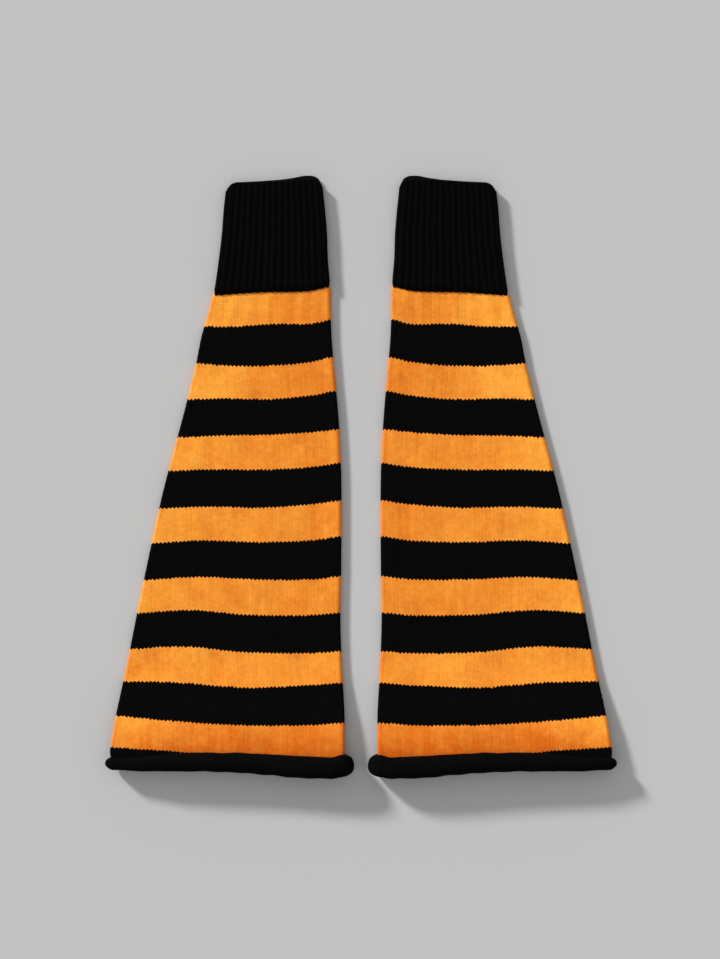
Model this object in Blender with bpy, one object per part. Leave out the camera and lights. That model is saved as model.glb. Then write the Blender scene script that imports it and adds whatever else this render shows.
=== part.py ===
"""Pair of flared knit leg warmers, laid flat side by side.

Each leg warmer has three pieces: a cuff of 1x1 rib, a flared leg of striped jersey, and the end of
the jersey, which curls outward into a roll. The back layer lies on the XY plane and the front layer
lies on the back one. +Y runs from the hems to the cuffs, +Z is up, and the plane X = 0 is midway
between the two garments, which mirror each other. Sizes are in metres.

Words used below. The height of a point is its distance above a line 1.2 mm below the hem. Across is
0 at the inner fold of a garment and 1 at its outer fold. A ring is one closed line round the
flattened tube, and a station is a place on it: how far across, and the angle that the cloth faces,
90 on the front, 270 on the back, 0 at the outer fold and 180 at the inner fold.
"""

import math
from typing import NamedTuple

import bmesh
import bpy
from mathutils import Vector

MM = 0.001

# Whole garment
TOTAL_LENGTH = 450 * MM  # from the lowest point of the hem to the top of the cuff
MIDDLE = 225.9 * MM  # the height that is halfway between those two
SEAM_GAP = 0.3 * MM  # between two pieces that are sewn together

# Leg
LEG_WALL = 1.8 * MM
LEG_SLIT = 0.5 * MM  # between the front and the back layer
LEG_FLAT = 2 * LEG_WALL + LEG_SLIT
FOLD_PUFF = 0.4 * MM  # how much thicker the garment is along its two folds
FOLD_PUFF_REACH = 14 * MM
LEG_FRONT_COLUMNS = 27  # twice the gaps between the roll's columns, and one
LEG_BACK_COLUMNS = 7
LEG_FOLD_STEPS = 4
LEG_ROWS = 20
SLOPE_LENGTH = 78 * MM  # from the hem, which lies on its roll, down to the floor
ROLL_CLEARANCE = 20 * MM  # below this height nothing swells under the front roll
SWELL_START = 30 * MM  # the length over which the folds reach their full thickness above it

# Gathers below the cuff
GATHER_RISE = 0.5 * MM
GATHER_REACH = 48 * MM  # how far a ripple whose length is 1 runs down the leg
GATHER_START = 3 * MM  # the length below the cuff where a ripple has its full rise

# Cuff
CUFF_WALL = 2.8 * MM
CUFF_SLIT = 0.6 * MM
CUFF_FLAT = 2 * CUFF_WALL + CUFF_SLIT
RIBS_A_FACE = 16
RIB_RISE = 0.6 * MM
RIB_SHAPE = ((0.10, 0.0), (0.28, 1.0), (0.72, 1.0), (0.90, 0.0))  # place in the rib, rise
CUFF_BACK = (0, 0.02, 0.06, 0.12, 0.31, 0.5, 0.69, 0.88, 0.94, 0.98, 1)  # columns of the back
CUFF_FOLD_STEPS = 4
CUFF_ROWS = 5
CUFF_CORNER = 8 * MM  # radius of the rounded top corners
RIM_RADIUS = 1.3 * MM  # the turned edge round the cuff's mouth
RIM_PLACES = (0.3, 0.7)  # through the wall, of the two rings on top of that edge
RIM_DIP = 2.4 * MM  # how far the front rim lies below the back rim at the inner side
RIM_DIP_END = 0.6  # across, where the two rims meet

# Hem roll
ROLL_TURNS = 1.1
TURN_GAP = 0.4 * MM  # between one turn of the curl and the next
ROLL_CORE = 0.15 * MM  # the smallest radius of the hollow that the curl leaves
ROLL_STEPS = 15  # facets along the curl
ROLL_FRONT_COLUMNS = 14
ROLL_BACK_COLUMNS = 7
ROLL_FOLD_STEPS = 6
BACK_DEPTH = 9.0  # of the roll under the back layer, which carries the hem, in millimetres
ROLL_SINK = 0.8 * MM  # how much of its underside the floor presses flat
HEM_LIFT = BACK_DEPTH * MM - LEG_WALL - ROLL_SINK

COLLECTION = "leg_warmers"
SIDES = {"left": -1, "right": 1}


class Outline(NamedTuple):
    """One section of a garment's outline, as distances from the middle plane in millimetres."""

    height: float
    inner: float
    outer: float


LEG_OUTLINE = (
    Outline(height=4, inner=13.1, outer=186.5),
    Outline(height=11, inner=13.1, outer=186.5),
    Outline(height=16, inner=12.8, outer=186.6),
    Outline(height=21, inner=12.2, outer=187.2),
    Outline(height=31, inner=12.2, outer=185.7),
    Outline(height=49, inner=12.2, outer=182.7),
    Outline(height=85, inner=14.2, outer=175.1),
    Outline(height=121, inner=15.3, outer=168.0),
    Outline(height=157, inner=14.7, outer=160.6),
    Outline(height=210, inner=14.5, outer=149.1),
    Outline(height=237, inner=15.0, outer=142.2),
    Outline(height=273, inner=17.0, outer=132.5),
    Outline(height=309, inner=20.2, outer=123.6),
    Outline(height=330, inner=21.9, outer=119.4),
    Outline(height=350, inner=22.5, outer=113.7),
    Outline(height=366, inner=22.6, outer=110.0),
)

CUFF_OUTLINE = (
    Outline(height=358, inner=22.6, outer=110.7),
    Outline(height=371, inner=23.3, outer=108.5),
    Outline(height=389, inner=24.8, outer=106.0),
    Outline(height=407, inner=25.4, outer=103.9),
    Outline(height=425, inner=26.9, outer=102.5),
    Outline(height=439, inner=28.4, outer=100.9),
    Outline(height=450, inner=29.0, outer=99.2),
)


class Seam(NamedTuple):
    """The two ends of the cuff at one place across, as heights in millimetres."""

    across: float
    joint: float  # where the cuff is sewn to the leg
    top: float


SEAMS = (
    Seam(across=0.0, joint=366.6, top=450.2),
    Seam(across=0.15, joint=364.0, top=450.6),
    Seam(across=0.3, joint=363.3, top=448.9),
    Seam(across=0.6, joint=362.9, top=446.5),
    Seam(across=1.0, joint=360.6, top=445.2),
)


class Roll(NamedTuple):
    """The rolled hem at one place across, in millimetres."""

    across: float
    centre: float  # height of its centre line, where the leg's cloth turns into it
    below: float  # from the centre line to its lower edge
    above: float  # from the centre line to its upper edge, as seen from the front
    front: float  # how far it stands out from the front layer
    back: float  # how far it reaches down from the back layer


ROLLS = (
    Roll(across=0.0, centre=10.6, below=8.3, above=8.6, front=10.6, back=BACK_DEPTH),
    Roll(across=0.05, centre=9.3, below=8.2, above=7.9, front=11.4, back=BACK_DEPTH),
    Roll(across=0.2, centre=10.2, below=8.1, above=8.2, front=11.4, back=BACK_DEPTH),
    Roll(across=0.45, centre=13.0, below=7.3, above=7.4, front=11.2, back=BACK_DEPTH),
    Roll(across=0.7, centre=13.5, below=6.8, above=6.8, front=10.6, back=BACK_DEPTH),
    Roll(across=0.87, centre=12.6, below=6.0, above=4.9, front=9.0, back=BACK_DEPTH),
    Roll(across=1.0, centre=12.3, below=4.6, above=4.4, front=5.6, back=5.6),
)


class Ripple(NamedTuple):
    """One soft ridge that runs down the front from the cuff; rise and length are shares."""

    across: float
    half_width: float
    rise: float
    length: float


RIPPLES = (
    Ripple(across=0.10, half_width=0.060, rise=0.8, length=0.9),
    Ripple(across=0.23, half_width=0.055, rise=1.0, length=1.3),
    Ripple(across=0.37, half_width=0.065, rise=0.7, length=0.7),
    Ripple(across=0.52, half_width=0.060, rise=1.1, length=1.6),
    Ripple(across=0.67, half_width=0.065, rise=0.8, length=1.0),
    Ripple(across=0.82, half_width=0.070, rise=1.0, length=1.4),
)


class Cloth(NamedTuple):
    """The colour and roughness of one knit."""

    name: str
    colour: tuple
    roughness: float


BLACK_RIB = Cloth(name="black_rib", colour=(0.004, 0.004, 0.005), roughness=0.95)
BLACK_JERSEY = Cloth(name="black_jersey", colour=(0.005, 0.005, 0.006), roughness=0.92)
ORANGE_JERSEY = Cloth(name="orange_jersey", colour=(0.86, 0.27, 0.03), roughness=0.9)


def smooth(table, key, column, at):
    """Reads a column between the rows of a table, along a smooth curve through them."""
    keys = [getattr(row, key) for row in table]
    values = [getattr(row, column) for row in table]
    if at <= keys[0]:
        return values[0]
    if at >= keys[-1]:
        return values[-1]
    i = max(k for k in range(len(keys) - 1) if keys[k] <= at)

    def slope(k):
        before, after = max(k - 1, 0), min(k + 1, len(keys) - 1)
        return (values[after] - values[before]) / (keys[after] - keys[before])

    step = keys[i + 1] - keys[i]
    t = (at - keys[i]) / step
    start = (2 * t**3 - 3 * t**2 + 1) * values[i] + (t**3 - 2 * t**2 + t) * step * slope(i)
    end = (3 * t**2 - 2 * t**3) * values[i + 1] + (t**3 - t**2) * step * slope(i + 1)
    return start + end


def ease(t):
    """Goes smoothly from 0 to 1 as t does, and stays there outside."""
    t = min(max(t, 0.0), 1.0)
    return t * t * (3 - 2 * t)


def mix(a, b, t):
    """Goes straight from a to b as t goes from 0 to 1."""
    return a + (b - a) * t


def hem_centre(across):
    """The height of the roll's centre line, where the leg's cloth turns into the roll."""
    return smooth(ROLLS, "across", "centre", across) * MM


def hem_seam(across, angle):
    """The height of the leg's end, straight between the roll's columns so that the gap stays even."""
    gaps = (ROLL_BACK_COLUMNS if angle == 270 else ROLL_FRONT_COLUMNS) - 1
    column = min(int(across * gaps), gaps - 1)
    start, end = hem_centre(column / gaps), hem_centre((column + 1) / gaps)
    return mix(start, end, across * gaps - column) + SEAM_GAP


def joint_height(across):
    """The height of the seam between the leg and the cuff."""
    return smooth(SEAMS, "across", "joint", across) * MM


def leg_lift(height):
    """How far the underside of the leg is above the floor."""
    return HEM_LIFT * (1 - ease((height - hem_centre(0.5)) / SLOPE_LENGTH))


def leg_swell(across, height):
    """How much higher the front of the leg is than two flat layers would be."""
    inner, outer = (smooth(LEG_OUTLINE, "height", edge, height / MM) for edge in ("inner", "outer"))
    from_fold = min(across, 1 - across) * (outer - inner) * MM
    swell = FOLD_PUFF * math.exp(-from_fold / FOLD_PUFF_REACH)
    swell *= ease((height - ROLL_CLEARANCE) / SWELL_START)
    below_cuff = joint_height(across) - height - GATHER_START
    for ripple in RIPPLES:
        fade = 1 - ease(below_cuff / (GATHER_REACH * ripple.length))
        ridge = 1 - ease(abs(across - ripple.across) / ripple.half_width)
        swell += GATHER_RISE * ripple.rise * fade * ridge
    return swell


def evenly(count):
    """Lists evenly spaced places across, from the inner fold to the outer one."""
    return [k / (count - 1) for k in range(count)]


def stations(front, back, fold_steps):
    """Lists the stations of a ring, once round, from its places across on the front and the back."""
    along_front = [(across, 90) for across in front]
    around_outer = [(1.0, 90 - 180 * k / fold_steps) for k in range(1, fold_steps)]
    along_back = [(across, 270) for across in reversed(back)]
    around_inner = [(0.0, 270 - 180 * k / fold_steps) for k in range(1, fold_steps)]
    return along_front + around_outer + along_back + around_inner


def tube_point(outline, across, angle, height, lift, flat, swell, inset):
    """A point of a flattened tube's wall, in the garment's own frame.

    Flat is the depth of the two layers at rest and swell maps a place across to the rise of the
    front over it. Inset is 0 on the outer side and the wall's thickness on the inner side.
    """
    inner = smooth(outline, "height", "inner", height / MM) * MM
    outer = smooth(outline, "height", "outer", height / MM) * MM
    fold_radius = (flat + swell(round(across))) / 2
    x = mix(inner + fold_radius, outer - fold_radius, across)
    x += (fold_radius - inset) * math.cos(math.radians(angle))
    if angle == 90:
        z = lift + flat + swell(across) - inset
    elif angle == 270:
        z = lift + inset
    else:
        z = lift + fold_radius + (fold_radius - inset) * math.sin(math.radians(angle))
    return Vector((x, height, z))


def leg_ring(row, inset):
    """One ring of the leg, at a share of the way from the hem to the cuff."""
    front, back = evenly(LEG_FRONT_COLUMNS), evenly(LEG_BACK_COLUMNS)
    ring = []
    for across, angle in stations(front, back, LEG_FOLD_STEPS):
        height = mix(hem_seam(across, angle), joint_height(across) - SEAM_GAP, row)

        def swell(at, height=height):
            return leg_swell(at, height)

        lift = leg_lift(height)
        ring.append(tube_point(LEG_OUTLINE, across, angle, height, lift, LEG_FLAT, swell, inset))
    return ring


def leg_rings():
    """The leg's rings: up the outside from the hem, and back down the plain inside."""
    rows = [(1 - math.cos(math.pi * k / (LEG_ROWS - 1))) / 2 for k in range(LEG_ROWS)]
    sloping = (SLOPE_LENGTH + ROLL_CLEARANCE) / TOTAL_LENGTH
    lining = [row for k, row in enumerate(rows) if row < sloping or k % 2 == 1]
    return [leg_ring(row, 0) for row in rows] + [leg_ring(row, LEG_WALL) for row in reversed(lining)]


def cuff_front():
    """The places across on the cuff's front, each with the rise of the rib there."""
    places = [(0.0, 0.0)]
    for rib in range(RIBS_A_FACE):
        places += [((rib + at) / RIBS_A_FACE, rise) for at, rise in RIB_SHAPE]
    return places + [(1.0, 0.0)]


def cuff_top(across, angle):
    """The height of the cuff's rim, with its rounded corners and the dip of the front layer."""
    top = smooth(SEAMS, "across", "top", across) * MM
    width = (CUFF_OUTLINE[-1].outer - CUFF_OUTLINE[-1].inner) * MM - CUFF_FLAT
    in_fold = CUFF_FLAT / 2 * (1 - abs(math.cos(math.radians(angle))))
    from_side = min(in_fold + min(across, 1 - across) * width, CUFF_CORNER)
    corner = CUFF_CORNER - math.sqrt(CUFF_CORNER**2 - (CUFF_CORNER - from_side) ** 2)
    frontness = (1 + math.sin(math.radians(angle))) / 2
    return top - corner - RIM_DIP * (1 - ease(across / RIM_DIP_END)) * frontness


def cuff_ring(row, inset, below_rim):
    """One ring of the cuff, at a share of the way from its seam to a little below the rim."""
    rises = dict(cuff_front())
    ring = []
    for across, angle in stations(list(rises), CUFF_BACK, CUFF_FOLD_STEPS):
        height = mix(joint_height(across), cuff_top(across, angle) - below_rim, row)
        rib = RIB_RISE * rises[across] if angle == 90 and inset == 0 else 0
        point = tube_point(CUFF_OUTLINE, across, angle, height, 0, CUFF_FLAT, lambda at: 0, inset)
        ring.append(point + Vector((0, 0, rib)))
    return ring


def cuff_rings():
    """The cuff's rings: up the ribbed outside, over the turned edge and down the plain inside."""
    rows = [k / (CUFF_ROWS - 1) for k in range(CUFF_ROWS)]
    outside = [cuff_ring(row, 0, RIM_RADIUS) for row in rows]
    rim = [cuff_ring(1, CUFF_WALL * place, 0) for place in RIM_PLACES]
    inside = [cuff_ring(row, CUFF_WALL, RIM_RADIUS) for row in (1, 0)]
    return outside + rim + inside


def curl(below, above, depth):
    """The section of the rolled cloth: offsets along the garment and out from its layer.

    The cloth leaves the leg downward and curls outward and back over itself, nearer to the core
    with each turn. It reaches its lowest, outermost and highest places after a quarter, a half and
    three quarters of a turn. The section runs along its outer side and back along its inner side.
    """
    turns_above_core = ROLL_TURNS - 0.25
    room = depth / 2 - ROLL_CORE - turns_above_core * (LEG_WALL / 2 + TURN_GAP)
    wall = min(LEG_WALL, room / (1 + turns_above_core / 2))
    pitch = (LEG_WALL + wall) / 2 + TURN_GAP
    out = (depth - wall + pitch / 2) / 2
    outer_side, inner_side = [], []
    for step in range(ROLL_STEPS + 1):
        turned = ROLL_TURNS * step / ROLL_STEPS
        angle = 2 * math.pi * turned
        down = below - wall / 2 - pitch * (turned - 0.25)
        up = above - wall / 2 - pitch * (turned - 0.75)
        a = down if math.sin(angle) > 0 else up
        b = out - pitch * turned
        middle = Vector((-a * math.sin(angle), out - b * math.cos(angle)))
        away = Vector((-b * math.sin(angle), -a * math.cos(angle))).normalized()
        outer_side.append(middle + away * wall / 2)
        inner_side.append(middle - away * wall / 2)
    return outer_side + inner_side[::-1]


def roll_rings():
    """The roll's rings: one section of the curl for each station round the hem."""
    front, back = evenly(ROLL_FRONT_COLUMNS), evenly(ROLL_BACK_COLUMNS)
    middle_height = HEM_LIFT + LEG_FLAT / 2
    half_gap = (LEG_FLAT - LEG_WALL) / 2
    rings = []
    for across, angle in stations(front, back, ROLL_FOLD_STEPS):
        out = Vector((math.cos(math.radians(angle)), 0, math.sin(math.radians(angle))))
        height = hem_centre(across)
        inner = smooth(LEG_OUTLINE, "height", "inner", height / MM) * MM
        outer = smooth(LEG_OUTLINE, "height", "outer", height / MM) * MM
        x = mix(inner + LEG_FLAT / 2, outer - LEG_FLAT / 2, across)
        start = Vector((x, height, middle_height)) + out * half_gap
        below, above, front_depth, back_depth = (
            smooth(ROLLS, "across", column, across) * MM
            for column in ("below", "above", "front", "back")
        )
        depth = mix(back_depth, front_depth, (1 + out.z) / 2)
        ring = []
        for along, outward in curl(below, above, depth):
            point = start + out * outward + Vector((0, along, 0))
            point.z = max(point.z, 0)
            ring.append(point)
        rings.append(ring)
    return rings


def material(cloth):
    """The cloth's material, made once."""
    made = bpy.data.materials.get(cloth.name)
    if made is None:
        made = bpy.data.materials.new(cloth.name)
        made.use_nodes = True
        shader = made.node_tree.nodes["Principled BSDF"]
        shader.inputs["Base Color"].default_value = (*cloth.colour, 1)
        shader.inputs["Roughness"].default_value = cloth.roughness
    return made


def loft(name, rings, side, cloth, collection):
    """Makes one closed body whose rings follow each other and meet again at the first."""
    shape = bmesh.new()
    rows = []
    for ring in rings:
        places = [(side * point.x, point.y - MIDDLE, point.z) for point in ring]
        rows.append([shape.verts.new(place) for place in places])
    for row, following in zip(rows, rows[1:] + rows[:1]):
        for k in range(len(row)):
            after = (k + 1) % len(row)
            shape.faces.new((row[k], row[after], following[after], following[k]))
    bmesh.ops.recalc_face_normals(shape, faces=shape.faces)
    mesh = bpy.data.meshes.new(name)
    shape.to_mesh(mesh)
    shape.free()
    mesh.shade_smooth()
    mesh.materials.append(material(cloth))
    piece = bpy.data.objects.new(name, mesh)
    collection.objects.link(piece)
    return piece


def clear_scene():
    """Removes the objects that the file opened with."""
    for old in list(bpy.data.objects):
        bpy.data.objects.remove(old)


def main():
    """Builds the two leg warmers."""
    clear_scene()
    collection = bpy.data.collections.new(COLLECTION)
    bpy.context.scene.collection.children.link(collection)
    for side_name, side in SIDES.items():
        loft(f"cuff_{side_name}", cuff_rings(), side, BLACK_RIB, collection)
        loft(f"leg_{side_name}", leg_rings(), side, ORANGE_JERSEY, collection)
        loft(f"hem_roll_{side_name}", roll_rings(), side, BLACK_JERSEY, collection)


main()
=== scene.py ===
"""Looks of a pair of flared knit leg warmers, laid flat side by side on a pale floor.

Each garment has a cuff of 1x1 rib, a leg of striped jersey and the end of the jersey, which curls
outward into a roll. Every stitch is modelled: the rows and columns of each mesh follow the courses
and wales of the knit, so the stripes change colour along real stitches.

Words used below. The height of a point is its distance above a line 1.2 mm below the hem. Across is
0 at the inner fold of a garment and 1 at its outer edge. Reach is the distance along the cloth from
the line of the inner fold, on the front or on the back. A wale is a column of stitches and a course
is a row of them, counted up from the hem. Sizes are in metres, unless a name says otherwise.
"""

import logging
import math
from dataclasses import dataclass, replace
from enum import Enum
from typing import NamedTuple, Sequence

import bpy
import numpy as np
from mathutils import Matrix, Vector


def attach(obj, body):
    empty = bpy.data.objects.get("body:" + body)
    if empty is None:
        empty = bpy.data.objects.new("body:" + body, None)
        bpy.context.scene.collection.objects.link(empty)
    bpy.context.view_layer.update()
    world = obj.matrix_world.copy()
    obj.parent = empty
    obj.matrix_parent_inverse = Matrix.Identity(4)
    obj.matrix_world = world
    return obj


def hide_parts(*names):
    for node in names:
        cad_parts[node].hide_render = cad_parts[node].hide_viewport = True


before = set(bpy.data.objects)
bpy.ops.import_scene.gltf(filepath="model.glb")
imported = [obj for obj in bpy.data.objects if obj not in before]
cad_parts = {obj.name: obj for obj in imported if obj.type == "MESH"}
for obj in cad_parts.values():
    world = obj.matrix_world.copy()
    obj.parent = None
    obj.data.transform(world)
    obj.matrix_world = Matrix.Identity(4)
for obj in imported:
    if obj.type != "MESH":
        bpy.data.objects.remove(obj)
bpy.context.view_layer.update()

LOG = logging.getLogger("leg_warmers")

Array = np.ndarray
Material = bpy.types.Material
Socket = bpy.types.NodeSocket

MM = 0.001
MIDDLE = 225.9 * MM  # the height of the origin
SEAM_GAP = 0.3 * MM
SEAM_VALLEY = 10_000  # the number of the gap between wales along the seam of the leg
SEAM_ROOM = 0.4  # the least room between the seam and the next mesh column, in columns
ROW_GAP = 0.1  # the share of a course up to which a mesh row lies in the gap below it
SPREAD = 0.5  # the standard deviation of a stitch's chance value
WAVES = 5  # how many slow waves are added up where something wanders
MOST_TURNS = 1.2  # how many turns such a wave makes at most over one wave length


class Side(Enum):
    """The two garments, each with the sign of its X."""

    LEFT = -1
    RIGHT = 1

    @property
    def word(self) -> str:
        """The side's name in the names of nodes and pieces."""
        return self.name.lower()


class Face(Enum):
    """The two layers of a flattened tube, each with the sign of the way that it faces."""

    FRONT = 1
    BACK = -1


class Outline(NamedTuple):
    """One section of a garment's outline, as distances from the middle plane in millimetres.

    Attributes:
        height: the height of the section.
        inner: the inner fold.
        outer: the outer edge.
    """

    height: float
    inner: float
    outer: float


LEG_OUTLINE = (
    Outline(4, 13.1, 186.5),
    Outline(11, 13.1, 186.5),
    Outline(16, 12.8, 186.6),
    Outline(21, 12.2, 187.2),
    Outline(31, 12.2, 185.7),
    Outline(49, 12.2, 182.7),
    Outline(85, 14.2, 175.1),
    Outline(121, 15.3, 168.0),
    Outline(157, 14.7, 160.6),
    Outline(210, 14.5, 149.1),
    Outline(237, 15.0, 142.2),
    Outline(273, 17.0, 132.5),
    Outline(309, 20.2, 123.6),
    Outline(330, 21.9, 119.4),
    Outline(350, 22.5, 113.7),
    Outline(366, 22.6, 110.0),
)

CUFF_OUTLINE = (
    Outline(358, 22.6, 110.7),
    Outline(371, 23.3, 108.5),
    Outline(389, 24.8, 106.0),
    Outline(407, 25.4, 103.9),
    Outline(425, 26.9, 102.5),
    Outline(439, 28.4, 100.9),
    Outline(450, 29.0, 99.2),
)


class Seam(NamedTuple):
    """The two ends of the cuff at one place across, as heights in millimetres.

    Attributes:
        across: the place.
        joint: the seam to the leg.
        top: the rim.
    """

    across: float
    joint: float
    top: float


SEAMS = (
    Seam(0.0, 366.6, 450.2),
    Seam(0.15, 364.0, 450.6),
    Seam(0.3, 363.3, 448.9),
    Seam(0.6, 362.9, 446.5),
    Seam(1.0, 360.6, 445.2),
)


class Curl(NamedTuple):
    """The rolled hem at one place across, in millimetres.

    Attributes:
        across: the place.
        centre: the height where the cloth of the leg turns into the roll.
        below: from there to the lower edge.
        above: from there to the upper edge.
        front: how far the roll stands out of the front of the leg.
        back: how far it stands out of the back.
    """

    across: float
    centre: float
    below: float
    above: float
    front: float
    back: float


CURLS = (
    Curl(0.0, 10.6, 8.3, 8.6, 10.6, 9.0),
    Curl(0.05, 9.3, 8.2, 7.9, 11.4, 9.0),
    Curl(0.2, 10.2, 8.1, 8.2, 11.4, 9.0),
    Curl(0.45, 13.0, 7.3, 7.4, 11.2, 9.0),
    Curl(0.7, 13.5, 6.8, 6.8, 10.6, 9.0),
    Curl(0.87, 12.6, 6.0, 4.9, 9.0, 9.0),
    Curl(1.0, 12.3, 4.6, 4.4, 5.6, 5.6),
)


class Ripple(NamedTuple):
    """One soft ridge that runs down the front from the cuff; rise and length are shares.

    Attributes:
        across: its place.
        half_width: half its width, across.
        rise: its share of the gathers' rise.
        length: its share of their reach.
    """

    across: float
    half_width: float
    rise: float
    length: float


RIPPLES = (
    Ripple(0.10, 0.060, 0.8, 0.9),
    Ripple(0.23, 0.055, 1.0, 1.3),
    Ripple(0.37, 0.065, 0.7, 0.7),
    Ripple(0.52, 0.060, 1.1, 1.6),
    Ripple(0.67, 0.065, 0.8, 1.0),
    Ripple(0.82, 0.070, 1.0, 1.4),
)


class StripeEdge(NamedTuple):
    """Where one stripe ends: its course, and its heights in millimetres at STRIPE_PLACES.

    Attributes:
        course: the first course of the next stripe.
        fold: the height at the inner fold.
        near: the height at the place beside it.
        middle: the height at the middle one.
        far: the height at the place beside the outer edge.
        seam: the height at the outer edge.
    """

    course: int
    fold: float
    near: float
    middle: float
    far: float
    seam: float


STRIPE_PLACES = (0.0, 0.15, 0.45, 0.75, 1.0)  # across, from the fold to the seam
STRIPE_EDGES = (
    StripeEdge(5, 14.7, 14.5, 16.0, 20.9, 23.7),
    StripeEdge(17, 41.5, 39.6, 39.8, 42.8, 46.7),
    StripeEdge(30, 71.2, 69.4, 67.7, 71.3, 72.3),
    StripeEdge(42, 94.4, 93.0, 93.8, 98.0, 96.2),
    StripeEdge(55, 123.5, 121.5, 121.9, 125.5, 123.2),
    StripeEdge(67, 150.5, 148.1, 148.2, 150.0, 147.6),
    StripeEdge(80, 180.5, 177.5, 176.2, 177.5, 175.3),
    StripeEdge(92, 207.1, 204.3, 201.6, 202.5, 201.0),
    StripeEdge(105, 235.2, 232.4, 230.3, 230.5, 229.5),
    StripeEdge(117, 260.3, 258.2, 256.1, 255.5, 254.2),
    StripeEdge(130, 289.0, 285.9, 282.9, 283.5, 282.8),
    StripeEdge(142, 314.1, 310.5, 307.7, 307.6, 309.5),
    StripeEdge(155, 342.1, 339.1, 339.3, 337.3, 337.3),
)
COURSES = 167  # of the leg, from the roll to the cuff
WIDEST = (20, 30)  # the heights between which a leg is widest, in millimetres


class Crease(NamedTuple):
    """One soft trough or ridge of the cloth; sizes are in millimetres.

    Attributes:
        across: the place of its middle.
        height: the height of its middle.
        half_width: half its width.
        half_length: half its length.
        lean: how far its upper end leans outward.
        rise: above zero for a ridge, below it for a trough.
    """

    across: float
    height: float
    half_width: float
    half_length: float
    lean: float
    rise: float


FRONT_CREASES = (
    Crease(0.80, 62, 16, 58, -6, 0.45),
    Crease(0.58, 88, 13, 48, 4, -0.4),
    Crease(0.36, 58, 15, 44, -5, 0.35),
    Crease(0.16, 70, 12, 62, 3, -0.4),
    Crease(0.72, 165, 12, 50, -8, -0.35),
    Crease(0.42, 176, 14, 56, 5, 0.3),
    Crease(0.12, 196, 9, 70, 2, -0.45),
    Crease(0.55, 262, 10, 46, -4, -0.35),
    Crease(0.86, 252, 9, 52, -9, 0.35),
    Crease(0.26, 286, 8, 40, 3, 0.3),
)
BACK_CREASES = (
    Crease(0.70, 110, 12, 52, -6, 0.6),
    Crease(0.34, 150, 11, 60, 5, 0.7),
    Crease(0.52, 232, 9, 44, -4, 0.5),
    Crease(0.20, 300, 8, 38, 3, 0.8),
    Crease(0.78, 318, 8, 34, -5, 0.7),
)


class Patch(NamedTuple):
    """One patch where the colour is made deeper or lighter; sizes are in millimetres.

    Attributes:
        across: the place of its middle.
        height: the height of its middle.
        half_width: half its width.
        half_length: half its length.
        tone_shift: above zero where the colour is deeper, below it where it is lighter.
    """

    across: float
    height: float
    half_width: float
    half_length: float
    tone_shift: float


PATCHES = (
    Patch(0.12, 352, 6, 18, 0.16),
    Patch(0.28, 350, 24, 24, 0.08),
    Patch(0.82, 350, 20, 24, -0.12),
    Patch(0.20, 298, 34, 26, 0.18),
    Patch(0.76, 298, 20, 24, -0.14),
    Patch(0.55, 246, 34, 24, 0.09),
    Patch(0.62, 190, 36, 24, 0.07),
    Patch(0.72, 136, 56, 26, 0.11),
    Patch(0.96, 84, 34, 26, 0.23),
    Patch(0.22, 84, 40, 24, -0.22),
    Patch(1.00, 32, 26, 20, -0.34),
    Patch(0.02, 36, 16, 18, -0.14),
)


def read(table: Sequence[NamedTuple], key: str, column: str, at: Array) -> Array:
    """Reads a column between the rows of a table, along a smooth curve through them.

    Args:
        table: rows in rising order of the key.
        key: the column that says where each row is.
        column: the column to read.
        at: the places to read it at; outside the table they take its ends.

    Returns:
        The values, in the shape of at.
    """
    keys = np.array([getattr(row, key) for row in table], float)
    values = np.array([getattr(row, column) for row in table], float)
    return spline(keys, values, at)


def spline(keys: Array, values: Array, at: Array) -> Array:
    """Goes smoothly through a row of values.

    Args:
        keys: where the values are, in rising order.
        values: the values.
        at: the places to read them at.

    Returns:
        The values there, in the shape of at.
    """
    before = np.maximum(np.arange(len(keys)) - 1, 0)
    after = np.minimum(np.arange(len(keys)) + 1, len(keys) - 1)
    slopes = (values[after] - values[before]) / (keys[after] - keys[before])
    at = np.clip(at, keys[0], keys[-1])
    i = np.clip(np.searchsorted(keys, at, side="right") - 1, 0, len(keys) - 2)
    step = keys[i + 1] - keys[i]
    t = (at - keys[i]) / step
    start = (2 * t**3 - 3 * t**2 + 1) * values[i] + (t**3 - 2 * t**2 + t) * step * slopes[i]
    end = (3 * t**2 - 2 * t**3) * values[i + 1] + (t**3 - t**2) * step * slopes[i + 1]
    return start + end


def ease(t: Array) -> Array:
    """Goes smoothly from 0 to 1 as t does, and stays there outside."""
    t = np.clip(t, 0, 1)
    return t * t * (3 - 2 * t)


def mix(a: Array, b: Array, t: Array) -> Array:
    """Goes straight from a to b as t goes from 0 to 1."""
    return a + (b - a) * t


def zigzag(wale: Array) -> Array:
    """The V of a stitch: 0 in the middle of a wale and 1 at its two sides."""
    return np.abs(1 - 2 * (wale % 1))


def per_stitch(
    chance: np.random.RandomState, lattice: tuple[int, int], steps: tuple[int, int]
) -> Array:
    """Gives each stitch of a lattice a chance value that all its points share.

    Args:
        chance: where the values come from.
        lattice: how many mesh rows and columns there are.
        steps: how many mesh rows and columns a stitch has.

    Returns:
        Values about 0, mostly between -1 and 1.
    """
    rows, columns = np.arange(lattice[0]) // steps[0], np.arange(lattice[1]) // steps[1]
    values = chance.normal(0, SPREAD, (rows[-1] + 1, columns[-1] + 1))
    return values[rows[:, None], columns[None, :]]


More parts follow.
